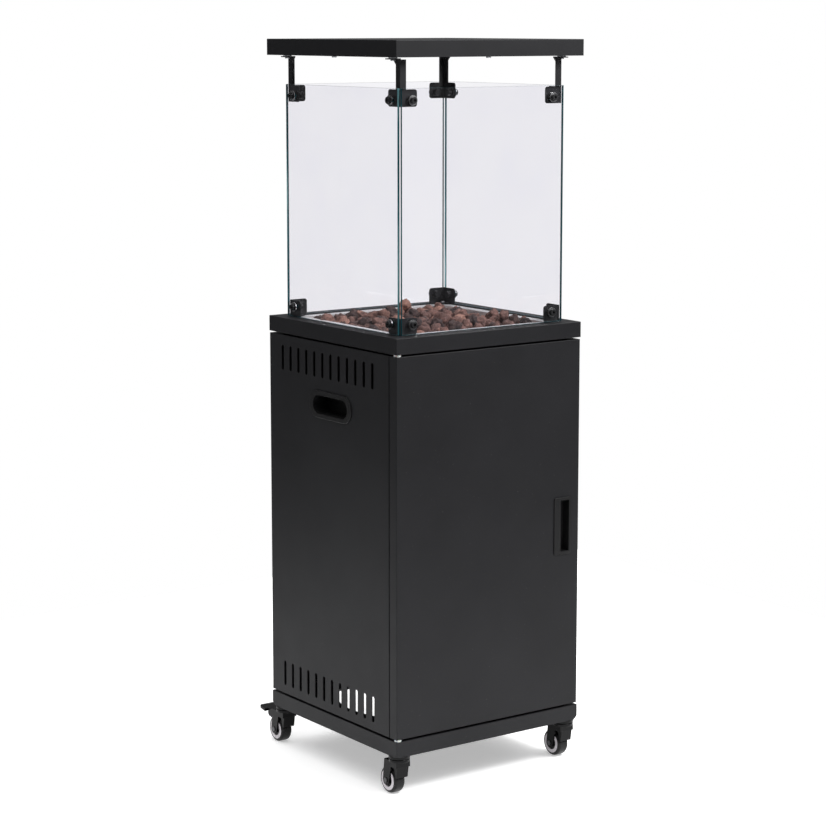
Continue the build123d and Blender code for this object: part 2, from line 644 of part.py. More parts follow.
def screw(x, y, seat, direction, grip):
    """A button-head screw. The head's underside is on the seat, and the shank runs along the direction."""
    head = rod(SCREW_HEAD[0], Vector(x, y, seat) - direction * SCREW_HEAD[1], direction, SCREW_HEAD[1])
    end = head.faces().sort_by(Axis(origin=(0, 0, 0), direction=direction))[0]
    return fillet(end.edges(), HEAD_EDGE) + rod(SCREW, (x, y, seat), direction, grip)


def screws_and_spacers():
    """Every M5 screw of the cabinet and the top, and the spacers between the posts and the top plate."""
    tab_bottom = TOP_PLATE_BOTTOM - SPACER - BRACKET
    reach = TOP_PLATE_BOTTOM + SHEET + STUD_SCREW_DEPTH - STUD_SCREW_SLACK
    pieces = []
    for x, y in top_studs()[:4]:
        pieces.append(screw(x, y, tab_bottom, UP, reach - tab_bottom))
        pieces.append(washer(SPACER_RADIUS, SCREW + RUNNING, (x, y, TOP_PLATE_BOTTOM - SPACER), UP, SPACER))
    pieces += [screw(x, y, TOP_PLATE_BOTTOM, UP, reach - TOP_PLATE_BOTTOM) for x, y in top_studs()[4:]]
    pieces += four_corners(screw(-FOOT_SCREW_AT, -FOOT_SCREW_AT, DECK_TOP + BRACKET, DOWN, FOOT_SCREW_GRIP))
    for x, y in wall_flange_points():
        pieces.append(screw(x, y, BODY_BOTTOM + SHEET, DOWN, SCREW_GRIP))
        pieces.append(screw(x, y, BODY_TOP - SHEET, UP, SCREW_GRIP))
    pieces += [screw(x, y, BODY_TOP - SHEET, UP, SCREW_GRIP) for x, y in PANEL_SCREWS]
    return pieces + [screw_from_behind(x, z) for x, z in back_screw_points()]


def screw_from_behind(x, z):
    """A screw through the back, driven forwards."""
    head = rod(SCREW_HEAD[0], (x, WALL_OUT, z), BACK, SCREW_HEAD[1])
    head = fillet(head.faces().sort_by(Axis.Y)[-1].edges(), HEAD_EDGE)
    return head + rod(SCREW, (x, WALL_OUT, z), FRONT, SCREW_GRIP)


# ---- door ----
def door_panel():
    """The door: a full-width folded tray, drilled for the hinge pins and cut out for the handle."""
    outer = block((-WALL_OUT, WALL_OUT), (-WALL_OUT, DOOR_BACK), (BODY_BOTTOM, BODY_TOP))
    outer = fillet(outer.faces().sort_by(Axis.Y)[0].edges(), EDGE_RADIUS)
    inner = block((-WALL_IN, WALL_IN), (-WALL_IN, DOOR_BACK), (BODY_BOTTOM + SHEET, BODY_TOP - SHEET))
    cup = block((HANDLE_X - HANDLE_CUP[0] / 2, HANDLE_X + HANDLE_CUP[0] / 2), (-WALL_OUT, -WALL_IN),
                (HANDLE_Z - HANDLE_CUP[1] / 2, HANDLE_Z + HANDLE_CUP[1] / 2))
    holes = drill([(HINGE_AT, HINGE_AT)], BODY_BOTTOM - SHEET, 3 * SHEET, HINGE_PIN + RUNNING)
    holes += drill([(HINGE_AT, HINGE_AT)], BODY_TOP - 2 * SHEET, 3 * SHEET, HINGE_PIN + RUNNING)
    return outer - inner - cup - holes


def door_handle():
    """A flush plastic pull: a flange, a closed cup and a ridge to hook the fingers behind."""
    front = -WALL_OUT - HANDLE_PROUD
    plane = Plane(origin=(HANDLE_X, front, HANDLE_Z), x_dir=(1, 0, 0), z_dir=(0, -1, 0))
    flange = extrude(plane * RectangleRounded(*HANDLE, HANDLE_CORNER), -HANDLE_PROUD)
    flange = fillet(flange.faces().sort_by(Axis.Y)[0].edges(), HANDLE_EDGE)
    width, height = (size - SNAP_PLAY for size in HANDLE_CUP)
    cup = Pos(HANDLE_X, -WALL_OUT, HANDLE_Z) * Box(width, HANDLE_DEPTH, height, align=(MID, MIN, MID))
    width, height = (size - 2 * PLASTIC_WALL for size in (width, height))
    mouth = Pos(HANDLE_X, front, HANDLE_Z) * Box(width, HANDLE_DEPTH, height, align=(MID, MIN, MID))
    left = HANDLE_X - width / 2
    ridge = block((left, left + HANDLE_RIDGE), (front, front + 2 * PLASTIC_WALL),
                  (HANDLE_Z - height / 2, HANDLE_Z + height / 2))
    return flange + cup - mouth + ridge


def hinge_pins():
    """The door's upper pin hangs from the deck, and its lower one stands in the base."""
    length = SHEET + SHADOW_GAP + HINGE_GRIP
    pins = []
    for seat, inward, outward in ((DECK_BOTTOM + SHEET, DOWN, UP), (BASE_TOP - SHEET, UP, DOWN)):
        foot = (HINGE_AT, HINGE_AT, seat)
        pins.append(rod(HINGE_PIN, foot, inward, length) + rod(HINGE_HEAD[0], foot, outward, HINGE_HEAD[1]))
    return pins


def hinge_washers():
    """A white nylon washer in each gap, on the hinge pins."""
    thickness = SHADOW_GAP - 2 * RUNNING
    return [washer(WASHER_RADIUS, HINGE_PIN + RUNNING, (HINGE_AT, HINGE_AT, seat), inward, thickness)
            for seat, inward in ((DECK_BOTTOM, DOWN), (BASE_TOP, UP))]


def door_magnet():
    """The magnet that holds the door shut, under the deck's lip."""
    return block(MAGNET_X, (DOOR_BACK + MAGNET_GAP, -LIP_END), (BODY_TOP - MAGNET_DROP, BODY_TOP))


def strike_plate():
    """The steel angle on the door that the magnet pulls."""
    top = BODY_TOP - SHEET
    face = DOOR_BACK + STRIKE_PROUD
    plate = block(MAGNET_X, (DOOR_BACK - STRIKE_DEPTH, face), (top - SHEET, top))
    return plate + block(MAGNET_X, (face - SHEET, face), (top - STRIKE_DROP, top))


# ---- gas controls ----
def control_panel():
    """A plate hung from the deck's lip, behind the door."""
    panel = block((-PANEL_HALF, PANEL_HALF), (PANEL_Y, PANEL_Y + SHEET), (PANEL_BOTTOM, BODY_TOP))
    panel += block((-PANEL_HALF, PANEL_HALF), (PANEL_Y - PANEL_FLANGE, PANEL_Y + SHEET),
                   (BODY_TOP - SHEET, BODY_TOP))
    holes = [rod(radius, (x, PANEL_Y - SHEET, CONTROL_Z), BACK, 3 * SHEET)
             for x, radius in ((0, SPINDLE_HOLE), (IGNITER_X, IGNITER[0] + RUNNING))]
    return panel - holes - drill(PANEL_SCREWS, BODY_TOP - 2 * SHEET, 3 * SHEET)


def gas_valve():
    """The brass valve body, with a boss for the spindle and a collar for the feed pipe."""
    front = PANEL_Y + SHEET
    body = block((-VALVE_HALF, VALVE_HALF), (front, VALVE_BACK), (VALVE_BOTTOM, CONTROL_Z + VALVE_HALF))
    body = chamfer(body.edges().filter_by(Axis.Y), VALVE_CHAMFER)
    body += rod(FEED_RADIUS + BOLT, (0, VALVE_BACK, CONTROL_Z), BACK, FEED_SOCKET)
    body -= rod(FEED_RADIUS + RUNNING, (0, VALVE_BACK, CONTROL_Z), BACK, FEED_SOCKET)
    return body - rod(SPINDLE + RUNNING, (0, front, CONTROL_Z), BACK, SPINDLE_BORE)


def valve_spindle():
    """The valve's push-and-turn spindle."""
    start = KNOB_FRONT + KNOB_FACE
    end = PANEL_Y + SHEET + SPINDLE_BORE - PUSH_TRAVEL - SHEET
    return rod(SPINDLE, (0, start, CONTROL_Z), BACK, end - start)


def control_knob():
    """A round plastic knob with a raised grip bar across its face."""
    radius, depth = KNOB
    width, bar_depth = KNOB_BAR
    knob = rod(radius, (0, KNOB_FRONT + bar_depth, CONTROL_Z), BACK, depth - bar_depth)
    knob = fillet(knob.faces().sort_by(Axis.Y)[0].edges(), KNOB_EDGE)
    reach = radius - KNOB_EDGE
    bar = block((-width / 2, width / 2), (KNOB_FRONT, KNOB_FRONT + bar_depth),
                (CONTROL_Z - reach, CONTROL_Z + reach))
    knob += fillet(bar.edges().filter_by(Axis.Z), KNOB_EDGE)
    return knob - rod(SPINDLE + RUNNING, (0, KNOB_FRONT + KNOB_FACE - RUNNING, CONTROL_Z), BACK, depth)


def igniter_housing():
    """The battery housing of the spark igniter, with a front flange."""
    flange = rod(IGNITER_FLANGE[0], (IGNITER_X, PANEL_Y, CONTROL_Z), FRONT, IGNITER_FLANGE[1])
    body = rod(IGNITER[0], (IGNITER_X, PANEL_Y, CONTROL_Z), BACK, IGNITER[1])
    front = (IGNITER_X, PANEL_Y - IGNITER_FLANGE[1], CONTROL_Z)
    return flange + body - rod(BUTTON[0] + RUNNING, front, BACK, BUTTON[1])


def igniter_button():
    """The igniter's push button."""
    button = rod(BUTTON[0], (IGNITER_X, BUTTON_FRONT, CONTROL_Z), BACK, BUTTON[1])
    return fillet(button.faces().sort_by(Axis.Y)[0].edges(), BUTTON_EDGE)


def tilt_switch():
    """The switch that shuts the gas off if the heater falls, on the back of the control panel."""
    radius, depth = TILT_SWITCH
    can = rod(radius, (TILT_X, PANEL_Y + SHEET, CONTROL_Z), BACK, depth)
    return fillet(can.faces().sort_by(Axis.Y)[-1].edges(), TILT_EDGE)


def gas_feed_pipe():
    """The pipe from the valve to the burner's inlet stub, with one long bend."""
    first = (0, VALVE_BACK, CONTROL_Z)
    bend = (0, -BURNER_HALF, CONTROL_Z)
    path = FilletPolyline(first, bend, (0, -BURNER_HALF, FEED_TOP), radius=FEED_BEND)
    start = Plane(origin=first, z_dir=BACK)
    return sweep(start * Circle(FEED_RADIUS), path=path) - sweep(start * Circle(FEED_BORE), path=path)


def gas_inlet_nipple():
    """The hose tail below the valve, where a gas hose is pushed on and clamped."""
    y = (PANEL_Y + SHEET + VALVE_BACK) / 2
    under_hex = VALVE_BOTTOM - NIPPLE_HEX[1]
    nipple = hexagon(NIPPLE_HEX[0], (0, y, VALVE_BOTTOM), DOWN, NIPPLE_HEX[1])
    nipple += rod(NIPPLE[0], (0, y, under_hex), DOWN, NIPPLE[1])
    return nipple - rod(NIPPLE_BORE, (0, y, under_hex - NIPPLE[1]), UP, NIPPLE[1])


# ---- casters, built on the swivel line at X = Y = 0 ----
def side_profile(sketch, x, thickness):
    """Extrudes a sketch of Y and Z along X."""
    return extrude(Plane(origin=(x, 0, 0), x_dir=(0, 1, 0), z_dir=(1, 0, 0)) * sketch, thickness)


def caster_mount():
    """The fixed race, its kingpin and the nut inside the base."""
    race = rod(FIXED_RACE, (0, 0, BASE_BOTTOM), DOWN, BASE_BOTTOM - RACE_TOP - RACE_GAP)
    race = fillet(race.faces().sort_by(Axis.Z)[0].edges(), RACE_EDGE)
    pin_foot = RACE_BOTTOM - RACE_GAP
    race += rod(KINGPIN, (0, 0, pin_foot), UP, BASE_BOTTOM + KINGPIN_RISE - pin_foot)
    race += rod(KINGPIN_END[0], (0, 0, pin_foot), DOWN, KINGPIN_END[1])
    radius, height = KINGPIN_NUT
    seat = (0, 0, BASE_BOTTOM + GUSSET)
    return [race, hexagon(radius, seat, UP, height) - rod(KINGPIN + RUNNING, seat, UP, height)]


def caster_fork(braked):
    """The swivelling fork: lower race, bridge, two legs and a web in front of the wheel, with ears for
    the pedal if braked."""
    bridge_z = (BRIDGE_BOTTOM, RACE_BOTTOM + BRIDGE_OVERLAP)
    eye = Pos(TRAIL, WHEEL_RADIUS) * Circle(FORK_EYE)
    leg = make_hull(eye.edges() + block_sketch((LEG_FRONT, FORK_BACK), bridge_z).edges())
    if braked:
        ear = (Pos(*PEDAL_PIVOT) * Circle(EAR)).edges()
        leg += make_hull(ear + block_sketch((EAR_ROOT[0], FORK_BACK), (EAR_ROOT[1], bridge_z[1])).edges())
        leg -= Pos(*PEDAL_PIVOT) * Circle(PEDAL_TRUNNION + RUNNING)
    leg -= Pos(TRAIL, WHEEL_RADIUS) * Circle(AXLE)
    fork = side_profile(leg, FORK_GAP, FORK_LEG)
    fork += mirror(fork, about=Plane.YZ)
    fork += block((-FORK_GAP - FORK_LEG, FORK_GAP + FORK_LEG), (FORK_FRONT, FORK_BACK), bridge_z)
    fork += side_profile(Polygon(*FORK_WEB, align=None), -FORK_GAP, 2 * FORK_GAP)
    race = rod(SWIVEL_RACE, (0, 0, RACE_BOTTOM), UP, RACE_TOP - RACE_BOTTOM)
    fork += fillet(race.edges().filter_by(GeomType.CIRCLE), RACE_EDGE)
    fork -= rod(KINGPIN + RUNNING, (0, 0, RACE_BOTTOM), UP, RACE_TOP - RACE_BOTTOM)
    return fork - rod(KINGPIN_ROOM, (0, 0, BRIDGE_BOTTOM), UP, RACE_BOTTOM - BRIDGE_BOTTOM)


def block_sketch(across, up):
    """A rectangle between the low and high ends given for each axis."""
    centre = Pos((across[0] + across[1]) / 2, (up[0] + up[1]) / 2)
    return centre * Rectangle(across[1] - across[0], up[1] - up[0])


def caster_axle():
    """The riveted axle."""
    end = FORK_GAP + FORK_LEG
    pin = rod(AXLE, (-end, TRAIL, WHEEL_RADIUS), RIGHT, 2 * end)
    for side, direction in ((-1, LEFT), (1, RIGHT)):
        pin += rod(AXLE_HEAD[0], (side * end, TRAIL, WHEEL_RADIUS), direction, AXLE_HEAD[1])
    return pin


def caster_hub():
    """The wheel's centre, recessed on both faces."""
    half = WHEEL_WIDTH / 2
    hub = rod(HUB_RADIUS, (-half, TRAIL, WHEEL_RADIUS), RIGHT, WHEEL_WIDTH)
    for x in (-half, half - HUB_RECESS[1]):
        hub -= rod(HUB_RECESS[0], (x, TRAIL, WHEEL_RADIUS), RIGHT, HUB_RECESS[1])
    return hub - rod(AXLE + RUNNING, (-half, TRAIL, WHEEL_RADIUS), RIGHT, WHEEL_WIDTH)


def caster_tyre():
    """The tread round the hub."""
    half = WHEEL_WIDTH / 2
    tyre = rod(WHEEL_RADIUS, (-half, TRAIL, WHEEL_RADIUS), RIGHT, WHEEL_WIDTH)
    tyre = fillet(tyre.edges().filter_by(GeomType.CIRCLE), TREAD_EDGE)
    return tyre - rod(HUB_RADIUS, (-half, TRAIL, WHEEL_RADIUS), RIGHT, WHEEL_WIDTH)


def brake_pedal():
    """The foot brake: a barrel with a cam over the tyre, moulded trunnions and a wide tread."""
    half = FORK_GAP - PEDAL_PLAY
    reach, tip_radius = CAM_LOBE
    toward_axle = math.atan2(WHEEL_RADIUS - PEDAL_PIVOT[1], TRAIL - PEDAL_PIVOT[0])
    lean = toward_axle + math.radians(CAM_ANGLE)
    lobe = Pos(PEDAL_PIVOT[0] + reach * math.cos(lean), PEDAL_PIVOT[1] + reach * math.sin(lean))
    barrel = Pos(*PEDAL_PIVOT) * Circle(PEDAL_BARREL)
    cam = make_hull(barrel.edges() + (lobe * Circle(tip_radius)).edges())
    pedal = side_profile(cam, -half, 2 * half)
    pedal += side_profile(Polygon(*PEDAL_ARM, align=None), -half, 2 * half)
    tread = side_profile(Polygon(*PEDAL_TREAD, align=None), -PEDAL_WIDTH / 2, PEDAL_WIDTH)
    pedal += fillet(tread.edges().filter_by(Axis.Z).sort_by(Axis.Y)[-2:], PEDAL_CORNER)
    end = FORK_GAP + FORK_LEG
    return pedal + rod(PEDAL_TRUNNION, (-end, *PEDAL_PIVOT), RIGHT, 2 * end)


# ---- the whole heater ----
def caster_nodes():
    """Every caster's own nodes, by name. Front casters are plain, and rear ones have a brake."""
    nodes = {}
    for side, x in (("left", -CASTER_AT), ("right", CASTER_AT)):
        for end, y in (("front", -CASTER_AT), ("rear", CASTER_AT)):
            place, at = f"{end}_{side}", Pos(x, y, 0)
            nodes[f"caster_fork_{place}"] = at * caster_fork(end == "rear")
            nodes[f"caster_axle_{place}"] = at * caster_axle()
            nodes[f"caster_hub_{place}"] = at * caster_hub()
            nodes[f"caster_tyre_{place}"] = at * caster_tyre()
            if end == "rear":
                nodes[f"brake_pedal_{place}"] = at * brake_pedal()
    return nodes


def heater():
    """Every node by name, about the middle of the cabinet."""
    left_wall, grip, front_glass = side_panel(), hand_grip(), front_pane()
    side_glass = across_corner(front_glass)
    bolts, washers, pads, nuts = clamps()
    mounts = [Pos(x, y, 0) * piece for x, y in every_corner(CASTER_AT) for piece in caster_mount()]
    return {
        "base_pan": base_pan(),
        "side_panel_left": left_wall,
        "side_panel_right": mirror(left_wall, about=Plane.YZ),
        "back_panel": back_panel(),
        "hand_grip_left": grip,
        "hand_grip_right": mirror(grip, about=Plane.YZ),
        "deck": deck(),
        "burner_pan": burner_pan(),
        "burner_tube": burner_tube(),
        "lava_rocks": lava_rocks(),
        "pilot_bracket": pilot_bracket(),
        "ignition_electrode": ignition_electrode(),
        "thermocouple": thermocouple(),
        "glass_front": front_glass,
        "glass_back": mirror(front_glass, about=Plane.XZ),
        "glass_left": side_glass,
        "glass_right": mirror(side_glass, about=Plane.YZ),
        "upper_brackets": four_corners(upper_bracket()),
        "lower_brackets": four_corners(lower_bracket()),
        "clamp_bolts": bolts,
        "clamp_washers": washers,
        "clamp_pads": pads,
        "clamp_nuts": nuts,
        "top_plate": top_plate(),
        "heat_shield": heat_shield(),
        "screws_and_spacers": screws_and_spacers(),
        "door_panel": door_panel(),
        "door_handle": door_handle(),
        "strike_plate": strike_plate(),
        "hinge_pins": hinge_pins(),
        "hinge_washers": hinge_washers(),
        "door_magnet": door_magnet(),
        "control_panel": control_panel(),
        "gas_valve": gas_valve(),
        "valve_spindle": valve_spindle(),
        "control_knob": control_knob(),
        "igniter_housing": igniter_housing(),
        "igniter_button": igniter_button(),
        "tilt_switch": tilt_switch(),
        "gas_feed_pipe": gas_feed_pipe(),
        "gas_inlet_nipple": gas_inlet_nipple(),
        "caster_mounts": mounts,
        **caster_nodes(),
    }


def main():
    """Writes each node, moved so that the origin is under the middle of the whole outline. That outline
    runs from the door handle in front to the brake pedals behind."""
    os.makedirs("parts", exist_ok=True)
    front_most = -WALL_OUT - HANDLE_PROUD
    rear_most = CASTER_AT + PEDAL_TIP
    home = Pos(0, -(front_most + rear_most) / 2, 0)
    for name, pieces in heater().items():
        shape = Compound(children=list(pieces)) if isinstance(pieces, list) else pieces
        export_step(home * shape, f"parts/{name}.step")


main()
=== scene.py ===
"""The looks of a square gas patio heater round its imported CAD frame: materials, lava rocks, wheel caps,
floor, lights and camera. Metres, +Z up, the door faces -Y."""

import json
import math
import random

import bmesh
import bpy
import numpy as np
from mathutils import Matrix, Vector, noise


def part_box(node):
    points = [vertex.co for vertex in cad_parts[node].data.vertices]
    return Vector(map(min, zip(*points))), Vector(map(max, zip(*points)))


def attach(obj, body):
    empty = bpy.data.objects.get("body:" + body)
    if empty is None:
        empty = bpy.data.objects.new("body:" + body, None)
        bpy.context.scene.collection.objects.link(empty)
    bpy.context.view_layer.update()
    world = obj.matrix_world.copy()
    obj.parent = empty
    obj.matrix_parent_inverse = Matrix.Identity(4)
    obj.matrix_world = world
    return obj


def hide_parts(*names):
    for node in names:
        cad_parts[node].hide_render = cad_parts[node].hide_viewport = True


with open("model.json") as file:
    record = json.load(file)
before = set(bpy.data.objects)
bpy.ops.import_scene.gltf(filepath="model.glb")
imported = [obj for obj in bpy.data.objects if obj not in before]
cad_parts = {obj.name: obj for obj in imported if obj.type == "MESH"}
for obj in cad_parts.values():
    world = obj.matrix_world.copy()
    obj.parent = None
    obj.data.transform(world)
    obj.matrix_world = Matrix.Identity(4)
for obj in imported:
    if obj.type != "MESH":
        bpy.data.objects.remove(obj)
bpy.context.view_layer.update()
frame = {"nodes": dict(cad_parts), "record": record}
NODES = frame["nodes"]

# ---- places taken from the frame ----
DECK_LOW, DECK_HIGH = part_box("deck")
PAN_LOW, PAN_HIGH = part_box("burner_pan")
CENTRE = (DECK_LOW + DECK_HIGH) / 2
SHEET = 0.0015  # thickness of the pan's sheet, as in the CAD

# ---- rock bed ----
ROCK_SEED = 11
ROCK_COUNT = 410
ROCK_RADII = (0.0085, 0.0135)
ROCK_DETAIL = 3
ROCK_FLATS = 10
ROCK_NOISE_REACH = 50.0  # how far from the noise's origin each rock's shape is taken
ROCK_TONES = (0.12, 0.35, 0.5, 0.55, 0.62, 0.7, 0.85)
TONE_DRIFT = 0.07
ROCK_STRETCH = ((0.92, 1.28), (0.82, 1.08), (0.70, 0.98))
ROCK_CORE = 0.19  # part of the radius that no flat takes away
FLAT_LEVELS = (0.56, 0.90)  # how far from the middle a flat lies
FLAT_DEPTH = 0.8  # share of a flat's cut that is taken
GRAZING = 0.05  # a flat more slanted than this to the ray doesn't cut it
LUMPS = (1.7, 0.32)  # these four: how finely spread over the rock, and how high or deep
HOLLOWS = (2.2, 0.22)
GAS_HOLES = (4.5, 0.45)
GRIT = (7.0, 0.07)
GAS_HOLE_WIDTH = 0.32
ROCK_SWELL = 1.02  # a lump against the ball that stood for it while settling
TRAY_WALL = 0.025  # the pan's flange is this much wider than its walls
DROP_HEIGHT = 0.12  # the stones start within this height above the pan's floor
SETTLE_STEPS = 280
FALL = 0.0012  # how far a stone falls in the first step
PUSHES = 3  # rounds of pushing apart in each step
PUSH_SHARE = 0.42  # of their overlap that two stones give way in one push
WALL_REACH = 0.92  # of its radius that a stone keeps from the walls
PILOT_REACH = 0.8  # of its radius that a stone keeps from the pilot
TINY = 1e-9  # added to distances that are divided by

# ---- dark dished caps that paint the shade in the wheels' recesses: radius and distance from the wheel's middle ----
SHADE_CAP_PROFILE = ((0.0032, 0.00845), (0.0032, 0.0103), (0.0060, 0.0107), (0.0085, 0.0100), (0.0113, 0.0098),
               (0.0124, 0.0092), (0.0126, 0.00845))
CAP_STEPS = 64

# ---- camera ----
CAMERA_AT = (-2.5463, -3.5552, 1.3893)
CAMERA_HEADING = math.radians(35.56)
CAMERA_DOWN = math.radians(8.51)
CAMERA_LENS = 101.73
CAMERA_SENSOR = 36.0
CAMERA_SHIFT = (-0.00145, -0.0496)

# ---- studio ----
FLOOR_HALF = 1.35
FLOOR_GLOW = 0.42
FLOOR_GREYS = ((0.86, 0.86, 0.86), (0.88, 0.88, 0.88))
ROOM_LIGHT = 0.9
SKY_POWER = 2.6
SKY_WIDTH = math.radians(100)
SKY_TILT = (math.radians(4), math.radians(6), 0.0)
SOFTBOX_AT = (0.9, -1.5, 2.15)
SOFTBOX_AIM = (0.0, -0.2, 1.2)
SOFTBOX_SIZE = (0.9, 0.7)
SOFTBOX_POWER = 44.0

# ---- numbers that the finishes share ----
DUST = (0.16, 0.155, 0.15)
WEAR = 0.05  # how much lighter scuffed plastic is
THIN_EDGE = 0.0003  # radius that bare metal's edges are rounded to
MOULDED_EDGE = 0.0004
GLASS_TINTS = ((0.990, 0.988, 1.000), (0.980, 0.978, 0.996))
GLASS_SHINE = (0.04, 0.9)  # share mirrored head-on and at a slant


# ---- node helpers ----
def add(tree, kind, inputs=None, **settings):
    """A new node, with its settings, and its inputs given as values or as sockets to link."""
    node = tree.nodes.new(kind)
    for name, value in settings.items():
        setattr(node, name, value)
    for name, value in (inputs or {}).items():
        if isinstance(value, bpy.types.NodeSocket):
            tree.links.new(value, node.inputs[name])
        else:
            node.inputs[name].default_value = value
    return node


def start(name, **shader_values):
    """A new material, its node tree and its Principled shader with the values that are the same all over."""
    made = bpy.data.materials.new(name)
    made.use_nodes = True
    shader = made.node_tree.nodes["Principled BSDF"]
    for socket, value in shader_values.items():
        shader.inputs[socket.replace("_", " ")].default_value = value
    return made, made.node_tree, shader


def place(tree, stretch=(1.0, 1.0, 1.0)):
    """Where a point lies on its own piece, in metres, stretched along each axis."""
    where = add(tree, "ShaderNodeTexCoord").outputs["Object"]
    return add(tree, "ShaderNodeMapping", {"Vector": where, "Scale": stretch}).outputs["Vector"]


def cloud(tree, scale, detail=2.0, roughness=0.5, stretch=(1.0, 1.0, 1.0)):
    """Noise from 0 to 1 with features about 1/scale metres wide."""
    inputs = {"Vector": place(tree, stretch), "Scale": scale, "Detail": detail, "Roughness": roughness}
    return add(tree, "ShaderNodeTexNoise", inputs).outputs["Fac"]


def cells(tree, scale, output="Distance"):
    """Distance to the nearest of scattered points about 1/scale metres apart, or the colour of its cell."""
    inputs = {"Vector": place(tree), "Scale": scale}
    return add(tree, "ShaderNodeTexVoronoi", inputs).outputs[output]


def spread(tree, value, source, target):
    """value moved from the source range into the target range, kept inside it."""
    inputs = {"Value": value, "From Min": source[0], "From Max": source[1]}
    inputs.update({"To Min": target[0], "To Max": target[1]})
    return add(tree, "ShaderNodeMapRange", inputs).outputs["Result"]


def combine(tree, operation, a, b):
    """The two numbers joined by a Math node."""
    node = add(tree, "ShaderNodeMath", operation=operation)
    for socket, value in zip(node.inputs, (a, b)):
        if isinstance(value, bpy.types.NodeSocket):
            tree.links.new(value, socket)
        else:
            socket.default_value = value
    return node.outputs[0]


def ramp(tree, value, *stops):
    """A colour for value, from stops of (place, (r, g, b))."""
    node = add(tree, "ShaderNodeValToRGB", {"Fac": value})
    points = node.color_ramp.elements
    while len(points) < len(stops):
        points.new(0.5)
    for point, (where, colour) in zip(points, stops):
        point.position = where
        point.color = (*colour, 1.0)
    return node.outputs["Color"]


def blend_colours(tree, value, low, high):
    """Two colour sockets or colours mixed by value."""
    node = add(tree, "ShaderNodeMix", data_type="RGBA")
    for name, given in (("Factor_Float", value), ("A_Color", low), ("B_Color", high)):
        socket = next(s for s in node.inputs if s.identifier == name)
        if isinstance(given, bpy.types.NodeSocket):
            tree.links.new(given, socket)
        else:
            socket.default_value = given if name == "Factor_Float" else (*given, 1.0)
    return next(s for s in node.outputs if s.identifier == "Result_Color")


def raise_by(tree, height, distance, strength=1.0, over=None):
    """A bumped normal: height from 0 to 1 stands for distance metres."""
    inputs = {"Height": height, "Distance": distance, "Strength": strength}
    if over is not None:
        inputs["Normal"] = over
    return add(tree, "ShaderNodeBump", inputs).outputs["Normal"]


def rounded(tree, radius):
    """Normals that run softly round every edge, as a coat of paint or a tumbled edge does."""
    return add(tree, "ShaderNodeBevel", {"Radius": radius}, samples=4).outputs["Normal"]


def join(tree, shader, **sockets):
    """Links each given output to the shader's input of that name."""
    for name, socket in sockets.items():
        tree.links.new(socket, shader.inputs[name.replace("_", " ")])


def shades(colour, change):
    """The colour made darker and lighter by that share."""
    darker = tuple(c * (1 - change) for c in colour)
    lighter = tuple(min(1.0, c * (1 + change)) for c in colour)
    return darker, lighter


# ---- materials ----
def painted(name, colour, rough, peel=(800.0, 0.00006), edge=0.0006, dust=0.35, specular=0.15):
    """Baked powder coat: orange peel, a finer grain, faint clouds of gloss and a few specks of dust."""
    made, tree, shader = start(name, Specular_IOR_Level=specular)
    darker, lighter = shades(colour, 0.10)
    broad = cloud(tree, 7.0, 3.0)
    coat = ramp(tree, broad, (0.3, darker), (0.7, lighter))
    specks = spread(tree, cloud(tree, 420.0, 1.0), (0.77, 0.82), (0.0, dust))
    join(tree, shader, Base_Color=blend_colours(tree, specks, coat, DUST))
    gloss = combine(tree, "ADD", cloud(tree, 18.0, 4.0), cloud(tree, 900.0, 2.0))
    join(tree, shader, Roughness=spread(tree, gloss, (0.6, 1.4), rough))
    peeled = raise_by(tree, cloud(tree, peel[0], 1.5), peel[1], 0.6, rounded(tree, edge))
    join(tree, shader, Normal=raise_by(tree, cloud(tree, peel[0] * 3.5, 2.0), peel[1] * 0.25, 0.5, peeled))
    return made


def brushed(name, colour, rough, stretch=(1.0, 40.0, 40.0), scale=60.0, depth=0.00004,
            stain=(0.5, 0.47, 0.43), metallic=1.0):
    """Rolled or brushed bare metal: fine lines along one axis, soft stains and small scratches."""
    made, tree, shader = start(name, Metallic=metallic)
    lines = cloud(tree, scale, 4.0, 0.6, stretch)
    darker, lighter = shades(colour, 0.10)
    metal = ramp(tree, lines, (0.3, darker), (0.7, lighter))
    stains = spread(tree, cloud(tree, 30.0, 5.0, 0.6), (0.5, 0.75), (0.0, 0.5))
    join(tree, shader, Base_Color=blend_colours(tree, stains, metal, stain))
    patches = combine(tree, "ADD", lines, cloud(tree, 45.0, 3.0))
    join(tree, shader, Roughness=spread(tree, patches, (0.6, 1.4), rough))
    join(tree, shader, Normal=raise_by(tree, lines, depth, 0.5, rounded(tree, THIN_EDGE)))
    return made


def plated(name, colour, rough, flakes=260.0):
    """Plated or cast metal: small crystals of slightly different brightness, with dull spots."""
    made, tree, shader = start(name, Metallic=1.0)
    darker, lighter = shades(colour, 0.16)
    crystals = cells(tree, flakes, "Color")
    lit = add(tree, "ShaderNodeSeparateColor", {"Color": crystals}).outputs["Red"]
    join(tree, shader, Base_Color=ramp(tree, lit, (0.1, darker), (0.9, lighter)))
    join(tree, shader, Roughness=spread(tree, cloud(tree, 120.0, 4.0), (0.3, 0.7), rough))
    grain = raise_by(tree, cloud(tree, flakes * 6, 3.0), 0.00003, 0.5, rounded(tree, THIN_EDGE))
    join(tree, shader, Normal=grain)
    return made


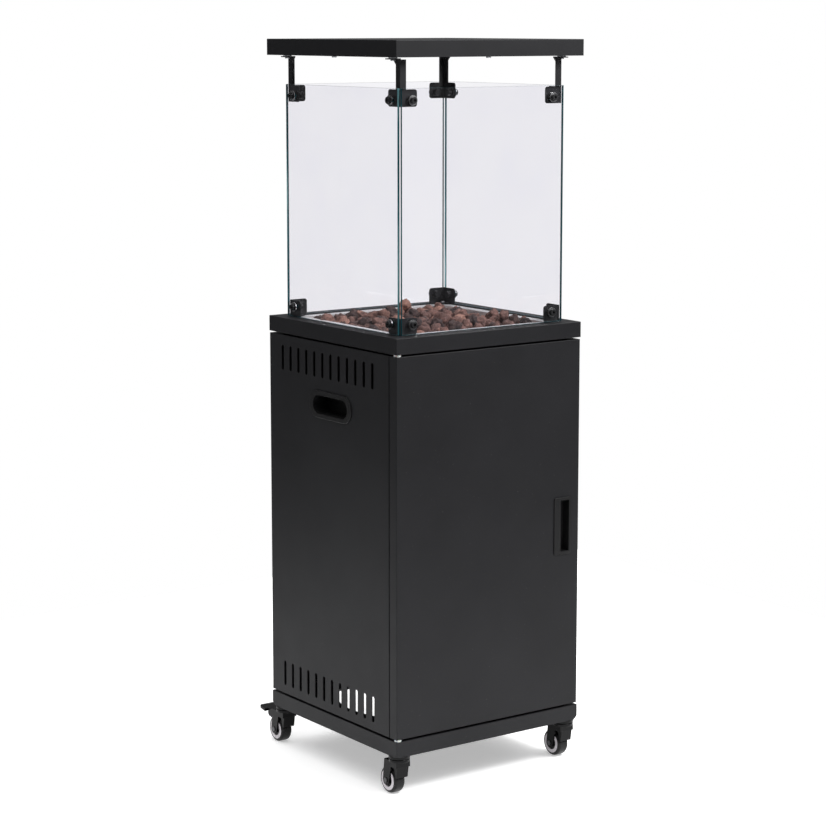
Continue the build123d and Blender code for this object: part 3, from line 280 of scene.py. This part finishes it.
def moulded(name, colour, rough, grain=(1500.0, 0.00005), scuff=0.25, **shader_values):
    """Moulded plastic or rubber: an even spark-eroded grain, faint flow marks and scuffed high spots."""
    made, tree, shader = start(name, **shader_values)
    darker, lighter = shades(colour, 0.12)
    body = ramp(tree, cloud(tree, 25.0, 4.0), (0.3, darker), (0.7, lighter))
    worn = tuple(min(1.0, c + WEAR) for c in colour)
    scuffs = spread(tree, cloud(tree, 90.0, 6.0, 0.7, (1.0, 3.0, 1.0)), (0.62, 0.75), (0.0, scuff))
    join(tree, shader, Base_Color=blend_colours(tree, scuffs, body, worn))
    join(tree, shader, Roughness=spread(tree, cloud(tree, 60.0, 4.0), (0.3, 0.7), rough))
    softened = rounded(tree, MOULDED_EDGE)
    join(tree, shader, Normal=raise_by(tree, cells(tree, grain[0]), grain[1], 0.5, softened))
    return made


def lava():
    """Porous volcanic rock: brick-red to charcoal from rock to rock, paler crusts, and gas holes darkened
    with painted shade.
    """
    made, tree, shader = start("lava_rock", Specular_IOR_Level=0.25)
    per_rock = add(tree, "ShaderNodeAttribute", attribute_name="tone", attribute_type="GEOMETRY")
    blotches = spread(tree, cloud(tree, 70.0, 5.0, 0.65), (0.25, 0.75), (-0.22, 0.22))
    mottle = combine(tree, "ADD", per_rock.outputs["Fac"], blotches)
    body = ramp(tree, mottle, (0.00, (0.045, 0.035, 0.036)), (0.28, (0.105, 0.064, 0.058)),
                (0.60, (0.240, 0.130, 0.108)), (1.00, (0.480, 0.260, 0.195)))
    crust = spread(tree, cloud(tree, 260.0, 5.0, 0.7), (0.52, 0.74), (0.0, 0.50))
    crusted = blend_colours(tree, crust, body, (0.34, 0.25, 0.215))
    # painted shade: the gas holes and pores are darkened towards near-black as the shade inside them,
    # besides being bumped in below
    pits = spread(tree, cells(tree, 330.0), (0.14, 0.36), (1.0, 0.0))
    pores = spread(tree, cells(tree, 900.0), (0.18, 0.42), (0.8, 0.0))
    holes = combine(tree, "MAXIMUM", pits, pores)
    dark = combine(tree, "MULTIPLY", holes, 0.72)
    join(tree, shader, Base_Color=blend_colours(tree, dark, crusted, (0.022, 0.014, 0.013)))
    join(tree, shader, Roughness=spread(tree, cloud(tree, 300.0), (0.3, 0.7), (0.82, 1.0)))
    rough = raise_by(tree, cloud(tree, 420.0, 6.0, 0.7), 0.0012, 0.8)
    join(tree, shader, Normal=raise_by(tree, combine(tree, "SUBTRACT", 1.0, holes), 0.0011, 0.9, rough))
    return made


def glass(name, thin_axis):
    """A clear pane with a faint grey-violet tint, mirror-like at a slant, and sea-green polished edges
    streaked with painted pale light.
    """
    made = bpy.data.materials.new(name)
    made.use_nodes = True
    tree = made.node_tree
    output = next(n for n in tree.nodes if n.type == "OUTPUT_MATERIAL")
    tree.nodes.remove(tree.nodes["Principled BSDF"])
    normal = add(tree, "ShaderNodeTexCoord").outputs["Normal"]
    split = add(tree, "ShaderNodeSeparateXYZ", {"Vector": normal}).outputs[thin_axis]
    is_face = spread(tree, combine(tree, "ABSOLUTE", split, 0.0), (0.55, 0.75), (0.0, 1.0))
    smear = spread(tree, cloud(tree, 9.0, 5.0, 0.6), (0.45, 0.8), (0.0, 1.0))
    tint = blend_colours(tree, smear, *GLASS_TINTS)
    clear = add(tree, "ShaderNodeBsdfTransparent", {"Color": tint}).outputs[0]
    gloss_rough = spread(tree, smear, (0.0, 1.0), (0.01, 0.05))
    mirror = add(tree, "ShaderNodeBsdfGlossy", {"Roughness": gloss_rough}).outputs[0]
    slant = add(tree, "ShaderNodeLayerWeight", {"Blend": 0.5}).outputs["Facing"]
    shine = spread(tree, combine(tree, "POWER", slant, 5.0), (0.0, 1.0), GLASS_SHINE)
    face = add(tree, "ShaderNodeMixShader", {0: shine, 1: clear, 2: mirror}).outputs[0]
    # edge faces: the two teal stops are the glass's own edge colour; the pale stop paints streaks of light
    # carried through the glass, a painted highlight
    edge_tint_and_glint_streaks = cloud(tree, 5.0, 3.0, 0.5, (60.0, 60.0, 1.0))
    sea = ramp(tree, edge_tint_and_glint_streaks, (0.34, (0.006, 0.040, 0.050)), (0.56, (0.020, 0.095, 0.115)),
               (0.70, (0.300, 0.520, 0.530)))
    inputs = {"Base Color": sea, "Roughness": spread(tree, edge_tint_and_glint_streaks, (0.3, 0.7), (0.05, 0.16))}
    edge = add(tree, "ShaderNodeBsdfPrincipled", inputs).outputs[0]
    whole = add(tree, "ShaderNodeMixShader", {0: is_face, 1: edge, 2: face}).outputs[0]
    tree.links.new(whole, output.inputs["Surface"])
    return made


def paint_nodes():
    """Every CAD node gets the finish of its material slot."""
    finishes = {
        "powder_coat": painted("powder_coat", (0.0150, 0.0150, 0.0165), (0.40, 0.50)),
        "bracket_black": painted("bracket_black", (0.020, 0.020, 0.0215), (0.34, 0.46),
                                 peel=(1500.0, 0.00004), edge=0.0004),
        "stainless": brushed("stainless", (0.86, 0.85, 0.85), (0.28, 0.42), stain=(0.74, 0.72, 0.70),
                             metallic=0.5),
        "lava_rock": lava(),
        "washer_steel": brushed("washer_steel", (0.34, 0.34, 0.35), (0.26, 0.38), (1.0, 1.0, 30.0),
                                scale=120.0, stain=(0.26, 0.25, 0.24)),
        "zinc_steel": plated("zinc_steel", (0.56, 0.57, 0.59), (0.26, 0.42)),
        "pad_rubber": moulded("pad_rubber", (0.018, 0.018, 0.018), (0.62, 0.80)),
        "black_plastic": moulded("black_plastic", (0.0065, 0.0065, 0.007), (0.40, 0.54), scuff=0.12,
                                 Specular_IOR_Level=0.26),
        "white_nylon": moulded("white_nylon", (0.80, 0.80, 0.77), (0.34, 0.46), scuff=0.1,
                               Subsurface_Weight=0.15),
        "magnet": moulded("magnet", (0.045, 0.044, 0.046), (0.40, 0.60), (700.0, 0.00008)),
        "ceramic": moulded("ceramic", (0.82, 0.80, 0.74), (0.28, 0.40), (600.0, 0.00004), 0.1),
        "valve_brass": plated("valve_brass", (0.62, 0.43, 0.17), (0.26, 0.44), 500.0),
        "feed_aluminium": brushed("feed_aluminium", (0.74, 0.74, 0.75), (0.26, 0.40)),
        "caster_black": painted("caster_black", (0.0030, 0.0030, 0.0034), (0.10, 0.20),
                                peel=(900.0, 0.00002), dust=0.05),
        "tyre_rubber": moulded("tyre_rubber", (0.004, 0.004, 0.0045), (0.20, 0.34), scuff=0.05,
                               Specular_IOR_Level=0.22),
        "hub_grey": moulded("hub_grey", (0.58, 0.55, 0.58), (0.30, 0.44), scuff=0.15),
        "axle_steel": plated("axle_steel", (0.09, 0.09, 0.095), (0.22, 0.36), 900.0),
    }
    panes = {
        "glass_front": glass("glass_along_x", "Y"),
        "glass_left": glass("glass_along_y", "X"),
    }
    panes["glass_back"] = panes["glass_front"]
    panes["glass_right"] = panes["glass_left"]
    slot_of = {part["node"]: part["material_slot"] for part in frame["record"]["subparts"]}
    for name, node in NODES.items():
        finish = panes[name] if name in panes else finishes[slot_of[name]]
        node.data.materials.clear()
        node.data.materials.append(finish)
    return finishes


# ---- pieces made of points and faces ----
def make_piece(name, points, faces, finish):
    """A new smooth piece in the scene, with its finish."""
    mesh = bpy.data.meshes.new(name)
    mesh.from_pydata(points, [], faces)
    mesh.polygons.foreach_set("use_smooth", [True] * len(mesh.polygons))
    mesh.materials.append(finish)
    piece = bpy.data.objects.new(name, mesh)
    bpy.context.scene.collection.objects.link(piece)
    return piece


# ---- lava rocks ----
def settle_rocks():
    """Centres and radii of round stones that have come to rest in the burner pan."""
    rng = np.random.default_rng(ROCK_SEED)
    wall = (PAN_HIGH.x - PAN_LOW.x) / 2 - TRAY_WALL - SHEET
    floor = PAN_LOW.z + SHEET
    radii = rng.uniform(*ROCK_RADII, ROCK_COUNT)
    spots = rng.uniform(-wall, wall, (ROCK_COUNT, 3))
    spots[:, 2] = floor + radii + rng.uniform(0.0, DROP_HEIGHT, ROCK_COUNT)
    tube_low, tube_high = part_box("burner_tube")
    tube = (tube_high.z - tube_low.z) / 2
    ring = (tube_high.x - tube_low.x) / 2 - tube
    pilot_low, pilot_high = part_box("pilot_bracket")
    pilot = np.array(((pilot_low + pilot_high) / 2 - CENTRE)[:2])
    pilot_reach = (pilot_high - pilot_low).xy.length / 2
    for step in range(SETTLE_STEPS):
        spots[:, 2] -= FALL * (1 - step / SETTLE_STEPS)
        for _ in range(PUSHES):
            apart = spots[:, None] - spots[None]
            far = np.linalg.norm(apart, axis=2) + TINY
            deep = np.clip(radii[:, None] + radii[None] - far, 0.0, None)
            np.fill_diagonal(deep, 0.0)
            spots += (apart / far[..., None] * deep[..., None]).sum(1) * PUSH_SHARE
            beside = np.abs(spots[:, :2]).max(1) - ring
            above = spots[:, 2] - (tube_low.z + tube_high.z) / 2
            gap = np.hypot(beside, above) + TINY
            spots[:, 2] += above * np.clip(radii + tube - gap, 0.0, None) / gap
            away = spots[:, :2] - pilot
            reach = np.linalg.norm(away, axis=1)
            near = np.clip(pilot_reach + radii * PILOT_REACH - reach, 0.0, None)
            spots[:, :2] += away / reach[:, None] * near[:, None]
            limit = (wall - radii * WALL_REACH)[:, None]
            spots[:, :2] = np.clip(spots[:, :2], -limit, limit)
            spots[:, 2] = np.maximum(spots[:, 2], floor + radii)
    return spots + np.array((CENTRE.x, CENTRE.y, 0.0)), radii


def any_direction(rng):
    """A unit vector that points anywhere."""
    return Vector((rng.gauss(0, 1), rng.gauss(0, 1), rng.gauss(0, 1))).normalized()


def shape_rock(centre, radius, rng):
    """Vertices and faces of one lump: a ball pushed into flats, hollows and gas holes."""
    ball = bmesh.new()
    bmesh.ops.create_icosphere(ball, subdivisions=ROCK_DETAIL, radius=1.0)
    turn = Matrix.Rotation(rng.uniform(0, math.tau), 3, any_direction(rng))
    stretch = Vector([rng.uniform(*span) for span in ROCK_STRETCH])
    offset = any_direction(rng) * ROCK_NOISE_REACH
    flats = [any_direction(rng) for _ in range(ROCK_FLATS)]
    levels = [rng.uniform(*FLAT_LEVELS) for _ in flats]
    points = []
    for vertex in ball.verts:
        ray = vertex.co.normalized()
        reach = 1.0
        for flat, level in zip(flats, levels):
            facing = ray.dot(flat)
            if facing > GRAZING:
                reach = min(reach, level / facing)
        lump = noise.fractal(ray * LUMPS[0] + offset, 0.9, 2.1, 3) * LUMPS[1]
        hollow = noise.voronoi(ray * HOLLOWS[0] + offset)[0][0] * HOLLOWS[1]
        to_hole = noise.voronoi(ray * GAS_HOLES[0] + offset)[0][0]
        hole = max(0.0, GAS_HOLE_WIDTH - to_hole) * GAS_HOLES[1]
        grit = noise.fractal(ray * GRIT[0] + offset, 0.8, 2.2, 2) * GRIT[1]
        size = reach * FLAT_DEPTH + ROCK_CORE + lump + hollow - hole + grit
        point = turn @ Vector((ray.x * stretch.x, ray.y * stretch.y, ray.z * stretch.z)) * size * radius
        points.append(centre + point)
    faces = [[v.index for v in face.verts] for face in ball.faces]
    ball.free()
    return points, faces


def lay_rocks(finish):
    """The loose bed of rocks, one closed lump each, in one piece."""
    rng = random.Random(ROCK_SEED)
    points, faces, tones = [], [], []
    for centre, radius in zip(*settle_rocks()):
        lump, sides = shape_rock(Vector(centre), radius * ROCK_SWELL, rng)
        first = len(points)
        points += lump
        faces += [[first + i for i in side] for side in sides]
        tone = rng.choice(ROCK_TONES) + rng.uniform(-TONE_DRIFT, TONE_DRIFT)
        tones += [tone] * len(lump)
    bed = make_piece("lava_rock_bed", points, faces, finish)
    bed.data.attributes.new("tone", "FLOAT", "POINT").data.foreach_set("value", tones)
    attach(bed, "cabinet")
    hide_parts("lava_rocks")


# ---- dark caps that paint the shade in the wheels' recesses ----
def turned_ring(profile, side):
    """Vertices and faces of a closed ring about the X axis, whose section lies on the given side."""
    count = len(profile)
    points = []
    for step in range(CAP_STEPS):
        angle = step / CAP_STEPS * math.tau
        points += [Vector((side * x, r * math.cos(angle), r * math.sin(angle))) for r, x in profile]
    faces = []
    for step in range(CAP_STEPS):
        here, there = step * count, (step + 1) % CAP_STEPS * count
        for i in range(count):
            after = (i + 1) % count
            face = [here + i, here + after, there + after, there + i]
            faces.append(face[::-1] if side > 0 else face)
    return points, faces


def add_hub_shade_caps(finish):
    """A dark dished cap in each recess of each wheel, round the axle, standing in for the shade that falls
    there.
    """
    for name in [node for node in NODES if node.startswith("caster_hub_")]:
        place_name = name.removeprefix("caster_hub_")
        low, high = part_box(name)
        middle = (low + high) / 2
        points, faces = [], []
        for side in (-1, 1):
            ring_points, ring_faces = turned_ring(SHADE_CAP_PROFILE, side)
            first = len(points)
            points += [middle + point for point in ring_points]
            faces += [[first + i for i in face] for face in ring_faces]
        # painted shade: a near-black piece where the hub's recess is only in shade
        caps = make_piece(f"hub_shade_caps_{place_name}", points, faces, finish)
        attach(caps, f"wheel_{place_name}")


# ---- studio ----
def make_floor():
    """A wide pale floor under the object."""
    half = FLOOR_HALF
    points = [(-half, -half, 0), (half, -half, 0), (half, half, 0), (-half, half, 0)]
    made, tree, shader = start("floor", Specular_IOR_Level=0.0, Roughness=1.0,
                               Emission_Strength=FLOOR_GLOW, Emission_Color=(1.0, 1.0, 1.0, 1.0))
    low, high = FLOOR_GREYS
    join(tree, shader, Base_Color=ramp(tree, cloud(tree, 2.0), (0.0, low), (1.0, high)))
    floor = make_piece("floor", points, [(0, 1, 2, 3)], made)


def light_world():
    """A white surround for the eye, and a dimmer room for the light."""
    world = bpy.data.worlds.new("studio")
    bpy.context.scene.world = world
    world.use_nodes = True
    tree = world.node_tree
    tree.nodes.clear()
    up = add(tree, "ShaderNodeTexCoord").outputs["Generated"]
    height = add(tree, "ShaderNodeSeparateXYZ", {"Vector": up}).outputs["Z"]
    room = ramp(tree, height, (0.0, (0.16, 0.16, 0.165)), (0.35, (0.22, 0.22, 0.225)),
                (1.0, (0.7, 0.7, 0.7)))
    dim = add(tree, "ShaderNodeBackground", {"Color": room, "Strength": ROOM_LIGHT}).outputs[0]
    white = add(tree, "ShaderNodeBackground", {"Color": (1.0, 1.0, 1.0, 1.0)}).outputs[0]
    seen = add(tree, "ShaderNodeLightPath").outputs["Is Camera Ray"]
    whole = add(tree, "ShaderNodeMixShader", {0: seen, 1: dim, 2: white}).outputs[0]
    output = add(tree, "ShaderNodeOutputWorld")
    tree.links.new(whole, output.inputs["Surface"])


def add_sky_light():
    """One very wide light from above, as from a ceiling bank, a little to the front and right."""
    light = bpy.data.lights.new("ceiling", "SUN")
    light.energy = SKY_POWER
    light.angle = SKY_WIDTH
    lamp = bpy.data.objects.new("ceiling", light)
    lamp.rotation_euler = SKY_TILT
    bpy.context.scene.collection.objects.link(lamp)


def add_softbox(name, at, aim, size, power):
    """A rectangular soft light at a place, turned to a point."""
    light = bpy.data.lights.new(name, "AREA")
    light.shape = "RECTANGLE"
    light.size, light.size_y = size
    light.energy = power
    lamp = bpy.data.objects.new(name, light)
    lamp.location = at
    lamp.rotation_euler = (Vector(aim) - Vector(at)).to_track_quat("-Z", "Y").to_euler()
    bpy.context.scene.collection.objects.link(lamp)


def add_camera():
    """The camera, a little above the top plate and to the left of the door."""
    data = bpy.data.cameras.new("camera")
    data.sensor_width = CAMERA_SENSOR
    data.lens = CAMERA_LENS
    data.shift_x, data.shift_y = CAMERA_SHIFT
    data.clip_end = 100.0
    camera = bpy.data.objects.new("camera", data)
    camera.location = CAMERA_AT
    flat = math.cos(CAMERA_DOWN)
    ahead = (math.sin(CAMERA_HEADING) * flat, math.cos(CAMERA_HEADING) * flat, -math.sin(CAMERA_DOWN))
    camera.rotation_euler = Vector(ahead).to_track_quat("-Z", "Y").to_euler()
    bpy.context.scene.collection.objects.link(camera)
    bpy.context.scene.camera = camera


def make_studio():
    """Floor, lights, surround and camera."""
    bpy.context.scene.view_settings.view_transform = "Standard"
    make_floor()
    light_world()
    add_sky_light()
    add_softbox("right_front", SOFTBOX_AT, SOFTBOX_AIM, SOFTBOX_SIZE, SOFTBOX_POWER)
    add_camera()


finishes = paint_nodes()
lay_rocks(finishes["lava_rock"])
add_hub_shade_caps(finishes["caster_black"])
make_studio()
